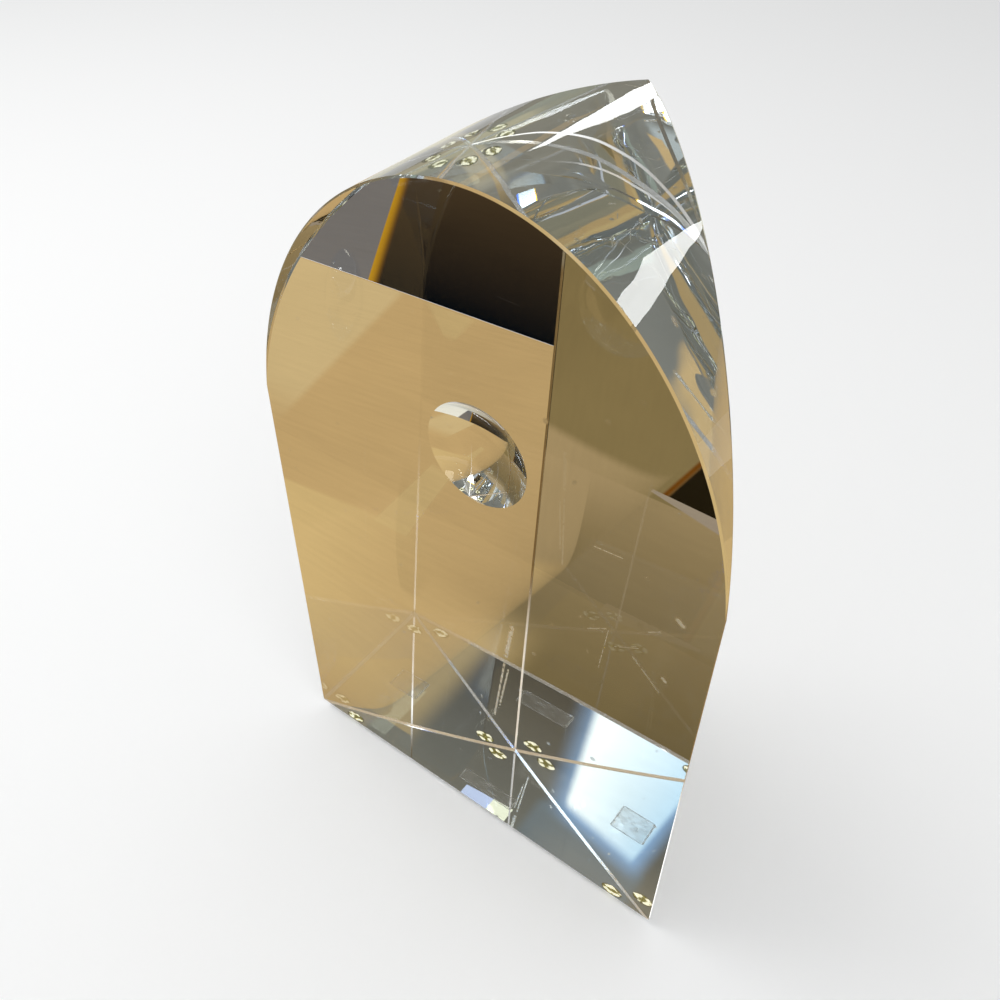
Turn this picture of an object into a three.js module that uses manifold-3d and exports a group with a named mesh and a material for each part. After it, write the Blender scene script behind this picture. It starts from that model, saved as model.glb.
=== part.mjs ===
// Crystal owl sculpture: one solid block of clear crystal, ground and polished, on three clear
// bumper feet, with a clear film label under its base.
//
// Seen from above the block is a right-angled triangle. Its long side is the flat front face, and
// the two short sides meet at the upright ridge at the back. The top is an arch that runs straight
// from front to back, so the ridge reaches the arch's crown. One round hollow is ground into the
// front face: seen from the ridge side it shows twice, once in each back face, as a pair of eyes.
//
// Millimetres, +Z up. The front face looks along -Y, the ridge is at +Y, and the origin is the
// middle of the object's footprint at the level that it stands on.
import * as THREE from 'three';
import { ConvexGeometry } from 'three/addons/geometries/ConvexGeometry.js';
import { mergeVertices } from 'three/addons/utils/BufferGeometryUtils.js';
import Module from 'manifold-3d';

// Driving dimensions of the block
const BLOCK_WIDTH = 120; // side to side, over the bevelled corners
const BLOCK_DEPTH = 60; // front face to the bevelled ridge
const BLOCK_HEIGHT = 192; // underside to the arch's crown
const SPRING_HEIGHT = 125; // underside to where the straight sides end and the arch begins
const ARCH_OVERHANG = 1.1; // how far the arch's full ellipse would reach past each side
const CHAMFER = 0.4; // polished bevel on the upright edges and the arch, measured along each face
const BASE_CHAMFER = 0.8; // the wider bevel round the base
const ARCH_STEPS = 56; // straight stretches along the arch

// Driving dimensions of the eye, a shallow spherical hollow
const EYE_DIAMETER = 25; // rim on the front face
const EYE_DEPTH = 4.5; // front face to the hollow's deepest point
const EYE_HEIGHT = 135; // underside to the eye's centre
const EYE_OFFSET = 2.2; // centre of the front face to the eye's centre, along X
const EYE_SEGMENTS = 64; // facets round the cutting sphere
const EYE_RINGS = 48; // facets from pole to pole of it

// Driving dimensions of the feet, self-adhesive domed bumpers
const FOOT_DIAMETER = 6.4; // the face stuck to the block
const FOOT_HEIGHT = 1.9;
const FOOT_TIP_DIAMETER = 3.2; // flat that it stands on
const FOOT_SIDE_INSET = 12.6; // block's side corner to a side foot's centre, along X
const FOOT_FRONT_INSET = 4.6; // front face to a side foot's centre
const FOOT_RIDGE_INSET = 10.1; // ridge to the back foot's centre
const FOOT_RIDGE_OFFSET = -3.6; // middle plane to the back foot's centre, along X
const FOOT_SEGMENTS = 32;
const FOOT_ARC_STEPS = 6;

// Driving dimensions of the base label, a plain film
const LABEL_LENGTH = 19;
const LABEL_WIDTH = 11;
const LABEL_THICKNESS = 0.2;
const LABEL_CORNER_RADIUS = 1;
const LABEL_CORNER_STEPS = 4;
const LABEL_FRONT_INSET = 18.2; // front face to the label's centre line
const LABEL_OFFSET = 1.3; // centre of the front face to the label's centre, along X

const MERGE_TOLERANCE = 1e-5; // points closer than this are one point

// Places that follow from the sizes
const HALF_WIDTH = BLOCK_WIDTH / 2;
const FRONT_Y = -BLOCK_DEPTH / 2;
const RIDGE_Y = BLOCK_DEPTH / 2;
const UNDERSIDE_Z = FOOT_HEIGHT;

// Where the side corners and the ridge would be if they were left sharp
const backFaceAngle = Math.atan2(BLOCK_DEPTH, HALF_WIDTH);
const sharpHalfWidth = HALF_WIDTH + CHAMFER * Math.cos(backFaceAngle);
const sharpRidgeY = RIDGE_Y + CHAMFER * Math.sin(backFaceAngle);

// The arch is the upper part of an ellipse that passes the springing points and the crown.
const archHalfSpan = sharpHalfWidth + ARCH_OVERHANG;
const springShare = Math.sqrt(1 - (sharpHalfWidth / archHalfSpan) ** 2);
const archHalfHeight = (BLOCK_HEIGHT - SPRING_HEIGHT) / (1 - springShare);
const archCentreZ = UNDERSIDE_Z + BLOCK_HEIGHT - archHalfHeight;

const wasm = await Module();
wasm.setup();

/** Stations along the arch from the left springing point to the right one, as [x, z] pairs. */
function archStations() {
  const endAngle = Math.asin(sharpHalfWidth / archHalfSpan);
  const stations = [];
  for (let step = 0; step <= ARCH_STEPS; step += 1) {
    const angle = endAngle * ((2 * step) / ARCH_STEPS - 1);
    stations.push([archHalfSpan * Math.sin(angle), archCentreZ + archHalfHeight * Math.cos(angle)]);
  }
  return stations;
}

/** Depth coordinate of the back faces at a given distance from the middle plane. */
function backY(x) {
  return sharpRidgeY - Math.abs(x) * Math.tan(backFaceAngle);
}

/**
 * A convex outline, counter-clockwise, drawn inwards: each edge moves towards the inside along its
 * normal by its own width, and neighbouring edges meet again.
 */
function insetOutline(outline, widths) {
  const edges = outline.map((start, index) => {
    const end = outline[(index + 1) % outline.length];
    const direction = end.clone().sub(start).normalize();
    const inward = new THREE.Vector2(-direction.y, direction.x);
    return { point: start.clone().addScaledVector(inward, widths[index]), direction };
  });
  return edges.map((edge, index) => {
    const before = edges[(index + edges.length - 1) % edges.length];
    const gap = edge.point.clone().sub(before.point);
    const turn = before.direction.cross(edge.direction);
    return before.point.clone().addScaledVector(before.direction, gap.cross(edge.direction) / turn);
  });
}

/** Inset corners of an upright flat face that runs in plan from one corner to another, bottom edge first. */
function uprightFace(from, to, topStations) {
  const along = to.clone().sub(from);
  const length = along.length();
  along.normalize();
  const top = topStations.map(([distance, z]) => new THREE.Vector2(distance, z));
  const outline = [new THREE.Vector2(0, UNDERSIDE_Z), new THREE.Vector2(length, UNDERSIDE_Z), ...top.reverse()];
  const widths = outline.map((_, index) => (index === 0 ? BASE_CHAMFER : CHAMFER));
  return insetOutline(outline, widths).map(
    (corner) => new THREE.Vector3(from.x + along.x * corner.x, from.y + along.y * corner.x, corner.y)
  );
}

/** Points of the block: every face drawn inwards by the bevels, so their hull has bevelled edges. */
function blockPoints() {
  const stations = archStations();
  const middle = ARCH_STEPS / 2;
  const left = new THREE.Vector2(-sharpHalfWidth, FRONT_Y);
  const right = new THREE.Vector2(sharpHalfWidth, FRONT_Y);
  const ridge = new THREE.Vector2(0, sharpRidgeY);
  const stretch = 1 / Math.cos(backFaceAngle);

  const front = uprightFace(left, right, stations.map(([x, z]) => [x + sharpHalfWidth, z]));
  const leftHalf = stations.slice(0, middle + 1).map(([x, z]) => [(x + sharpHalfWidth) * stretch, z]);
  const rightHalf = stations.slice(middle).map(([x, z]) => [x * stretch, z]);
  const leftBack = uprightFace(left, ridge, leftHalf);
  const rightBack = uprightFace(ridge, right, rightHalf);

  const plan = [left, right, ridge];
  const baseWidths = plan.map(() => BASE_CHAMFER);
  const base = insetOutline(plan, baseWidths).map((corner) => new THREE.Vector3(corner.x, corner.y, UNDERSIDE_Z));

  const crown = [];
  for (const [x, z] of stations) {
    const frontEdge = FRONT_Y + CHAMFER;
    const backEdge = backY(x) - CHAMFER * stretch;
    if (backEdge > frontEdge) {
      crown.push(new THREE.Vector3(x, frontEdge, z), new THREE.Vector3(x, backEdge, z));
    }
  }
  return [...front, ...leftBack, ...rightBack, ...base, ...crown];
}

/** A three.js geometry as a manifold-3d solid, with shared vertices merged. */
function toSolid(geometry) {
  const bare = geometry.clone();
  bare.deleteAttribute('normal');
  bare.deleteAttribute('uv');
  const merged = mergeVertices(bare, MERGE_TOLERANCE);
  return new wasm.Manifold(
    new wasm.Mesh({
      numProp: 3,
      vertProperties: new Float32Array(merged.attributes.position.array),
      triVerts: new Uint32Array(merged.index.array),
    })
  );
}

/** A manifold-3d solid as a three.js geometry. */
function toGeometry(solid) {
  const mesh = solid.getMesh();
  const geometry = new THREE.BufferGeometry();
  geometry.setAttribute('position', new THREE.BufferAttribute(mesh.vertProperties, 3));
  geometry.setIndex(new THREE.BufferAttribute(mesh.triVerts, 1));
  geometry.computeVertexNormals();
  return geometry;
}

/** The block with the eye's hollow cut into its front face by a sphere. */
function blockGeometry() {
  const rimRadius = EYE_DIAMETER / 2;
  const sphereRadius = (rimRadius ** 2 + EYE_DEPTH ** 2) / (2 * EYE_DEPTH);
  const sphere = new THREE.SphereGeometry(sphereRadius, EYE_SEGMENTS, EYE_RINGS);
  sphere.rotateX(Math.PI / 2);
  sphere.translate(EYE_OFFSET, FRONT_Y + EYE_DEPTH - sphereRadius, UNDERSIDE_Z + EYE_HEIGHT);
  const block = toSolid(new ConvexGeometry(blockPoints()));
  return toGeometry(block.subtract(toSolid(sphere)));
}

/** A domed foot, wide side up against the block: a flat tip, then an arc out to the stuck face. */
function footGeometry() {
  const tipRadius = FOOT_TIP_DIAMETER / 2;
  const rimRadius = FOOT_DIAMETER / 2;
  const profile = [new THREE.Vector2(0, 0)];
  for (let step = 0; step <= FOOT_ARC_STEPS; step += 1) {
    const angle = (Math.PI / 2) * (step / FOOT_ARC_STEPS);
    const reach = tipRadius + (rimRadius - tipRadius) * Math.sin(angle);
    profile.push(new THREE.Vector2(reach, FOOT_HEIGHT * (1 - Math.cos(angle))));
  }
  profile.push(new THREE.Vector2(0, FOOT_HEIGHT));
  const geometry = new THREE.LatheGeometry(profile, FOOT_SEGMENTS);
  geometry.rotateX(Math.PI / 2);
  return geometry;
}

/** The label: a thin rectangle with rounded corners, lying flat, its upper face at height 0. */
function labelGeometry() {
  const halfLength = LABEL_LENGTH / 2;
  const halfWidth = LABEL_WIDTH / 2;
  const inX = halfLength - LABEL_CORNER_RADIUS;
  const inY = halfWidth - LABEL_CORNER_RADIUS;
  const outline = new THREE.Shape();
  outline.absarc(inX, inY, LABEL_CORNER_RADIUS, 0, Math.PI / 2);
  outline.absarc(-inX, inY, LABEL_CORNER_RADIUS, Math.PI / 2, Math.PI);
  outline.absarc(-inX, -inY, LABEL_CORNER_RADIUS, Math.PI, 1.5 * Math.PI);
  outline.absarc(inX, -inY, LABEL_CORNER_RADIUS, 1.5 * Math.PI, 2 * Math.PI);
  const geometry = new THREE.ExtrudeGeometry(outline, {
    depth: LABEL_THICKNESS,
    bevelEnabled: false,
    curveSegments: LABEL_CORNER_STEPS,
  });
  geometry.translate(0, 0, -LABEL_THICKNESS);
  return geometry;
}

/** A named piece with its own material, set at a place. */
function piece(name, geometry, finish, position) {
  const mesh = new THREE.Mesh(geometry, new THREE.MeshStandardMaterial(finish));
  mesh.name = name;
  mesh.position.set(...position);
  return mesh;
}

const CRYSTAL = { color: 0xf2f4f0, roughness: 0.02, metalness: 0 };
const BUMPER = { color: 0xe9e2c4, roughness: 0.25, metalness: 0 };
const FILM = { color: 0xf4f4f2, roughness: 0.35, metalness: 0 };

const owl = new THREE.Group();
owl.add(piece('crystal_block', blockGeometry(), CRYSTAL, [0, 0, 0]));

const footPlaces = {
  foot_left: [-HALF_WIDTH + FOOT_SIDE_INSET, FRONT_Y + FOOT_FRONT_INSET, 0],
  foot_right: [HALF_WIDTH - FOOT_SIDE_INSET, FRONT_Y + FOOT_FRONT_INSET, 0],
  foot_ridge: [FOOT_RIDGE_OFFSET, RIDGE_Y - FOOT_RIDGE_INSET, 0],
};
for (const [name, place] of Object.entries(footPlaces)) {
  owl.add(piece(name, footGeometry(), BUMPER, place));
}

const labelPlace = [LABEL_OFFSET, FRONT_Y + LABEL_FRONT_INSET, UNDERSIDE_Z];
owl.add(piece('base_label', labelGeometry(), FILM, labelPlace));

export default owl;
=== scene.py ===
"""Crystal owl sculpture: the finish of every surface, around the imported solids.

One block of clear crystal with an arched top and a ground hollow, three clear bumper feet and a
plain film label. Sizes are in millimetres and become metres when a mesh is made.
"""

import logging
import math
from dataclasses import dataclass, field
from enum import Enum

import bmesh
import bpy
import numpy as np
from mathutils import Matrix, Vector


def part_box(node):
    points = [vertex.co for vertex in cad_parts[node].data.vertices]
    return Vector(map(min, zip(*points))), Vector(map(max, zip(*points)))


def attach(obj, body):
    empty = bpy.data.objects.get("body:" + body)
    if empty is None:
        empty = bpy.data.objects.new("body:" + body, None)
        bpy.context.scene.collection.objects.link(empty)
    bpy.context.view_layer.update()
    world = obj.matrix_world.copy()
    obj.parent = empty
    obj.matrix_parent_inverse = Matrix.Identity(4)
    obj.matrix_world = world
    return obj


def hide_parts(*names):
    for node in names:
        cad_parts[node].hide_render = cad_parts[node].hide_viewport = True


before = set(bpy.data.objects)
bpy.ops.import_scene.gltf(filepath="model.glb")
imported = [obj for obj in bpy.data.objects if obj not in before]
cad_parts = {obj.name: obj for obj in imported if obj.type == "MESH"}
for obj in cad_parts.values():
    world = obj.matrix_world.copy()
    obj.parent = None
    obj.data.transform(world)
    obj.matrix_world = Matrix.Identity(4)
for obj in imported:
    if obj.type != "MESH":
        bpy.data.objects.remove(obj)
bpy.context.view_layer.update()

LOG = logging.getLogger("crystal_owl")
MM = 0.001
BODY = "root"

# a place on a plane, and the two values between which a share rises smoothly from 0 to 1
Point = tuple[float, float]
Step = tuple[float, float]
# linear red, green and blue, and how much of it covers
Colour = tuple[float, float, float, float]
Socket = bpy.types.NodeSocket

BLACK: Colour = (0.0, 0.0, 0.0, 1.0)
WHITE: Colour = (1.0, 1.0, 1.0, 1.0)
LEFT_FROM_RIGHT = np.array([-1.0, 1.0, 1.0])


class Slot(Enum):
    """Material slots of the record, one passed along with each piece."""

    CRYSTAL = "crystal"
    BUMPER = "bumper"
    FILM = "film"


class Side(Enum):
    """Which side of the middle plane a mirrored part of the block is on."""

    LEFT = -1.0
    RIGHT = 1.0


class Grind(Enum):
    """How a stretch of surface was finished. The value is its material's place on the piece."""

    POLISHED = 0
    BEVEL = 1


@dataclass
class Patch:
    """A stretch of surface: its points in millimetres and its four-cornered faces."""

    points: np.ndarray
    faces: np.ndarray
    grind: Grind = Grind.POLISHED


def grid_faces(rows: int, columns: int, closed: bool) -> np.ndarray:
    """Faces of a grid of points that is stored row by row.

    Args:
        rows: number of rows of points.
        columns: number of points in a row.
        closed: whether the last point of a row joins the first one again.

    Returns:
        An array of four point numbers for each face.
    """
    row, column = np.mgrid[0 : rows - 1, 0 : columns if closed else columns - 1]
    after = (column + 1) % columns
    here, above = row * columns, (row + 1) * columns
    corners = [here + column, here + after, above + after, above + column]
    return np.stack(corners, axis=-1).reshape(-1, 4)


def ruled_patch(
    first: np.ndarray, second: np.ndarray, rows: int = 2, closed: bool = False, grind: Grind = Grind.POLISHED
) -> Patch:
    """Surface of straight lines between two edges: point(u, v) = (1 - v) first(u) + v second(u).

    Args:
        first: stations of one edge.
        second: as many stations of the other edge.
        rows: rows of points from the first edge to the second.
        closed: whether the edges run round and close.
        grind: how this stretch was finished.

    Returns:
        The patch.
    """
    share = np.linspace(0.0, 1.0, rows)[:, None, None]
    points = (1.0 - share) * first[None] + share * second[None]
    return Patch(points.reshape(-1, 3), grid_faces(rows, len(first), closed), grind)


def bevel_patch(first: np.ndarray, second: np.ndarray) -> Patch:
    """A flat bevel between the edges of two faces."""
    return ruled_patch(first, second, grind=Grind.BEVEL)


def corner_patch(first: np.ndarray, second: np.ndarray, third: np.ndarray) -> Patch:
    """The small triangle where three bevels meet."""
    return bevel_patch(np.stack([first, second]), np.stack([third, third]))


def fan_patch(outline: np.ndarray) -> Patch:
    """A flat face inside a closed outline: straight lines from its stations to their middle."""
    middle = np.repeat(outline.mean(axis=0)[None], len(outline), axis=0)
    return ruled_patch(outline, middle, closed=True)


def turned_patch(radius: np.ndarray, height: np.ndarray, centre: Point, segments: int) -> Patch:
    """Surface of revolution about an upright axis.

    In plan point(u, v) is centre + radius(v) (cos u, sin u), and its height is height(v).

    Args:
        radius: distance of each profile point from the axis.
        height: height of each profile point.
        centre: where the axis stands in plan.
        segments: number of steps round the axis.

    Returns:
        The patch.
    """
    angle = np.linspace(0.0, 2.0 * math.pi, segments, endpoint=False)
    x = centre[0] + radius[:, None] * np.cos(angle)[None]
    y = centre[1] + radius[:, None] * np.sin(angle)[None]
    z = np.repeat(height[:, None], segments, axis=1)
    points = np.stack([x, y, z], axis=-1).reshape(-1, 3)
    return Patch(points, grid_faces(len(radius), segments, True))


def mesh_object(
    name: str, patches: list[Patch], sharp_angle: float = 30.0, weld: float = 0.0005
) -> bpy.types.Object:
    """One closed object from patches whose edges meet station by station.

    Args:
        name: name of the piece.
        patches: the stretches of its surface.
        sharp_angle: faces that meet at a larger angle, in degrees, keep a sharp edge.
        weld: points closer than this, in millimetres, become one.

    Returns:
        The object, linked to the scene, with its faces pointing out.
    """
    starts = np.cumsum([0] + [len(patch.points) for patch in patches[:-1]])
    points = np.concatenate([patch.points for patch in patches]) * MM
    faces = np.concatenate([patch.faces + start for patch, start in zip(patches, starts)])
    mesh = bpy.data.meshes.new(name)
    mesh.from_pydata(points.tolist(), [], faces.tolist())
    grinds = np.repeat([patch.grind.value for patch in patches], [len(patch.faces) for patch in patches])
    mesh.polygons.foreach_set("material_index", grinds.astype(np.int32))
    welded = bmesh.new()
    welded.from_mesh(mesh)
    bmesh.ops.remove_doubles(welded, verts=welded.verts, dist=weld * MM)
    bmesh.ops.recalc_face_normals(welded, faces=welded.faces)
    welded.to_mesh(mesh)
    welded.free()
    mesh.shade_smooth()
    mesh.set_sharp_from_angle(angle=math.radians(sharp_angle))
    piece = bpy.data.objects.new(name, mesh)
    bpy.context.scene.collection.objects.link(piece)
    return piece


def node_box(node: str) -> tuple[Vector, Vector]:
    """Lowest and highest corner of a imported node, in millimetres."""
    low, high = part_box(node)
    return low / MM, high / MM


def plan_middle(low: Vector, high: Vector) -> Point:
    """Middle of a box in plan."""
    return (low.x + high.x) / 2.0, (low.y + high.y) / 2.0


def metres(step: Step) -> Step:
    """The two ends of a step in metres."""
    return step[0] * MM, step[1] * MM


def install(piece: bpy.types.Object, node: str, slot: Slot, *finishes: bpy.types.Material) -> None:
    """Puts a finished piece in the place of its CAD node, riding on the body.

    Args:
        piece: the new piece.
        node: CAD node that it stands for.
        slot: material slot of the record; not used.
        finishes: its materials, in the order of Grind.
    """
    for finish in finishes:
        piece.data.materials.append(finish)
    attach(piece, BODY)
    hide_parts(node)
    LOG.info("%s: %d faces, stands for %s", piece.name, len(piece.data.polygons), node)


class Wiring:
    """A node tree with short calls for adding, setting and linking nodes."""

    def __init__(self, tree: bpy.types.NodeTree) -> None:
        """Keeps the tree and empties it."""
        self.tree = tree
        tree.nodes.clear()

    def add(self, kind: str, inputs: dict | None = None, **settings: object) -> bpy.types.Node:
        """Adds a node.

        Args:
            kind: Blender's name of the node's type.
            inputs: value or source socket for each named or numbered input.
            settings: properties of the node itself.

        Returns:
            The node.
        """
        node = self.tree.nodes.new(kind)
        for key, value in settings.items():
            setattr(node, key, value)
        for key, value in (inputs or {}).items():
            self.feed(node.inputs[key], value)
        return node

    def feed(self, socket: Socket, value: object) -> None:
        """Links a source socket to an input, or sets the input's own value.

        Args:
            socket: the input.
            value: source socket, or the value to set.
        """
        if isinstance(value, Socket):
            self.tree.links.new(value, socket)
        else:
            socket.default_value = value

    def math(self, operation: str, *values: object, clamp: bool = False) -> Socket:
        """Adds a Math node.

        Args:
            operation: name of the operation.
            values: its operands, sockets or numbers.
            clamp: whether the result is held between 0 and 1.

        Returns:
            The result's socket.
        """
        node = self.add("ShaderNodeMath", dict(enumerate(values)), operation=operation, use_clamp=clamp)
        return node.outputs[0]

    def ramp(self, value: object, low: float, high: float) -> Socket:
        """Adds a smooth step that rises from 0 at low to 1 at high.

        Args:
            value: source socket.
            low: value where the step begins.
            high: value where it ends.

        Returns:
            The step's socket.
        """
        inputs = {"Value": value, "From Min": low, "From Max": high}
        node = self.add("ShaderNodeMapRange", inputs, interpolation_type="SMOOTHSTEP")
        return node.outputs["Result"]

    def blend(self, share: object, first: object, second: object) -> Socket:
        """Adds a colour mix.

        Args:
            share: how much of the second colour shows.
            first: colour or socket.
            second: colour or socket.

        Returns:
            The mixed colour's socket.
        """
        node = self.add("ShaderNodeMix", data_type="RGBA")
        colours = [socket for socket in node.inputs if socket.type == "RGBA"]
        self.feed(node.inputs[0], share)
        self.feed(colours[0], first)
        self.feed(colours[1], second)
        return next(socket for socket in node.outputs if socket.type == "RGBA")

    def place(self) -> Socket:
        """Adds the object's own coordinates."""
        return self.add("ShaderNodeTexCoord").outputs["Object"]

    def centred(self, place: Socket, centre: Point) -> Socket:
        """Adds the object's coordinates as counted from an upright axis, given in millimetres."""
        offset = (-centre[0] * MM, -centre[1] * MM, 0.0)
        return self.add("ShaderNodeMapping", {"Vector": place, "Location": offset}).outputs[0]

    def axis(self, vector: Socket, name: str) -> Socket:
        """Adds one axis of a vector, by its capital letter."""
        return self.add("ShaderNodeSeparateXYZ", {0: vector}).outputs[name]

    def noise(self, vector: Socket, scale: object, detail: float, roughness: float = 0.5) -> Socket:
        """Adds a noise texture.

        Args:
            vector: coordinates to take it at.
            scale: its scale, a number or a socket.
            detail: octaves of finer noise.
            roughness: how strong the finer octaves are.

        Returns:
            The noise, from 0 to 1.
        """
        inputs = {"Vector": vector, "Scale": scale, "Detail": detail, "Roughness": roughness}
        return self.add("ShaderNodeTexNoise", inputs).outputs[0]

    def effect(self, group: bpy.types.NodeTree, inputs: dict) -> Socket:
        """Adds one of the shared effects and gives its mask."""
        return self.add("ShaderNodeGroup", inputs, node_tree=group).outputs["Mask"]


def new_material(name: str) -> tuple[bpy.types.Material, Wiring]:
    """A material with an empty node tree.

    Args:
        name: name of the finish.

    Returns:
        The material and its wiring.
    """
    material = bpy.data.materials.new(name)
    material.use_nodes = True
    return material, Wiring(material.node_tree)


def new_group(name: str, inputs: dict[str, float], outputs: list[str]) -> tuple[bpy.types.NodeTree, Wiring]:
    """A shader node group with a Vector input, number inputs and number outputs.

    Args:
        name: name of the effect.
        inputs: default value of each number input.
        outputs: names of the outputs.

    Returns:
        The group and its wiring.
    """
    group = bpy.data.node_groups.new(name, "ShaderNodeTree")
    group.interface.new_socket("Vector", in_out="INPUT", socket_type="NodeSocketVector")
    for label, value in inputs.items():
        socket = group.interface.new_socket(label, in_out="INPUT", socket_type="NodeSocketFloat")
        socket.default_value = value
    for label in outputs:
        group.interface.new_socket(label, in_out="OUTPUT", socket_type="NodeSocketFloat")
    return group, Wiring(group)


@dataclass
class Effects:
    """Effects that several finishes share, each a node group that is built once."""

    scratch_turns: tuple[tuple[float, float, float], ...] = ((0.2, 0.5, 0.3), (0.9, -0.4, 1.1))
    scratch_draw: tuple[float, float, float] = (1.0, 1.0, 0.03)
    scratch_detail: float = 3.0
    scratch_roughness: float = 0.6
    scratch_peaks: Step = (0.70, 0.76)
    dust_spot: Step = (0.16, 0.08)
    dust_kept: Step = (0.86, 0.9)
    scuff_grain: float = 900.0
    scuff_detail: float = 3.0
    scuff_breaks: Step = (0.30, 0.50)
    scuff_edge: Step = (1.0, 0.2)

    def __post_init__(self) -> None:
        """Builds the groups."""
        self.scratches = self.build_scratches()
        self.dust = self.build_dust()
        self.scuff = self.build_scuff()

    def build_scratches(self) -> bpy.types.NodeTree:
        """Hairline scratches: noise drawn out along two slanted directions, only its peaks kept.

        Returns:
            The group, which puts out a mask.
        """
        group, wires = new_group("hairline_scratches", {"Scale": 60.0, "Amount": 0.5}, ["Mask"])
        source = wires.add("NodeGroupInput").outputs
        layers = []
        for turn in self.scratch_turns:
            drawn = {"Vector": source["Vector"], "Rotation": turn, "Scale": self.scratch_draw}
            place = wires.add("ShaderNodeMapping", drawn).outputs[0]
            noise = wires.noise(place, source["Scale"], self.scratch_detail, self.scratch_roughness)
            layers.append(wires.ramp(noise, *self.scratch_peaks))
        both = wires.math("MAXIMUM", *layers)
        mask = wires.math("MULTIPLY", both, source["Amount"], clamp=True)
        wires.add("NodeGroupOutput", {"Mask": mask})
        return group

    def build_dust(self) -> bpy.types.NodeTree:
        """Specks of dust: a small spot in some of the cells of a scattered pattern.

        Returns:
            The group, which puts out a mask.
        """
        group, wires = new_group("dust_specks", {"Scale": 300.0, "Amount": 0.5}, ["Mask"])
        source = wires.add("NodeGroupInput").outputs
        inputs = {"Vector": source["Vector"], "Scale": source["Scale"]}
        cells = wires.add("ShaderNodeTexVoronoi", inputs).outputs
        pick = wires.add("ShaderNodeSeparateColor", {"Color": cells["Color"]}).outputs[0]
        spot = wires.ramp(cells["Distance"], *self.dust_spot)
        specks = wires.math("MULTIPLY", spot, wires.ramp(pick, *self.dust_kept))
        mask = wires.math("MULTIPLY", specks, source["Amount"], clamp=True)
        wires.add("NodeGroupOutput", {"Mask": mask})
        return group

    def build_scuff(self) -> bpy.types.NodeTree:
        """One scuff on an upright face: a band round a line in X and Z, broken up by noise.

        The distance from the line is that to its nearest point, start + t reach, with t held in 0 to 1.

        Returns:
            The group, which puts out a mask.
        """
        sizes = {"Start X": 0.0, "Start Z": 0.0, "Reach X": 0.01, "Reach Z": 0.0, "Width": 0.0005}
        group, wires = new_group("scuff_mark", sizes, ["Mask"])
        source = wires.add("NodeGroupInput").outputs
        place = wires.add("ShaderNodeSeparateXYZ", {0: source["Vector"]}).outputs
        away = [wires.math("SUBTRACT", place[axis], source[f"Start {axis}"]) for axis in "XZ"]
        reach = [source["Reach X"], source["Reach Z"]]
        along = wires.math("ADD", *(wires.math("MULTIPLY", a, b) for a, b in zip(away, reach)))
        length = wires.math("ADD", *(wires.math("MULTIPLY", b, b) for b in reach))
        share = wires.math("DIVIDE", along, length, clamp=True)
        off = [wires.math("SUBTRACT", a, wires.math("MULTIPLY", share, b)) for a, b in zip(away, reach)]
        square = wires.math("ADD", *(wires.math("MULTIPLY", side, side) for side in off))
        distance = wires.math("DIVIDE", wires.math("SQRT", square), source["Width"])
        noise = wires.noise(source["Vector"], self.scuff_grain, self.scuff_detail)
        band = wires.ramp(distance, *self.scuff_edge)
        mask = wires.math("MULTIPLY", band, wires.ramp(noise, *self.scuff_breaks))
        wires.add("NodeGroupOutput", {"Mask": mask})
        return group


@dataclass(frozen=True)
class Scuff:
    """A short mark on the front face: where it starts and how far it runs, along X and Z, in millimetres."""

    start: Point
    reach: Point
    width: float


FRONT_SCUFFS = (
    Scuff((31.2, 128.8), (6.3, 0.6), 0.22),
    Scuff((31.9, 104.4), (4.2, 3.0), 0.20),
    Scuff((45.4, 113.0), (2.5, 1.8), 0.22),
    Scuff((38.5, 103.3), (5.4, 3.4), 0.12),
    Scuff((42.9, 103.3), (7.1, -6.6), 0.22),
    Scuff((50.2, 101.7), (0.8, -0.6), 0.60),
    Scuff((51.0, 120.6), (1.2, -0.8), 0.90),
    Scuff((36.6, 107.2), (-1.2, -13.1), 0.14),
    Scuff((12.3, 90.3), (-1.5, -11.4), 0.90),
    Scuff((10.4, 75.6), (-2.6, -22.9), 0.45),
    Scuff((11.6, 74.0), (-2.3, -16.0), 0.40),
)


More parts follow.
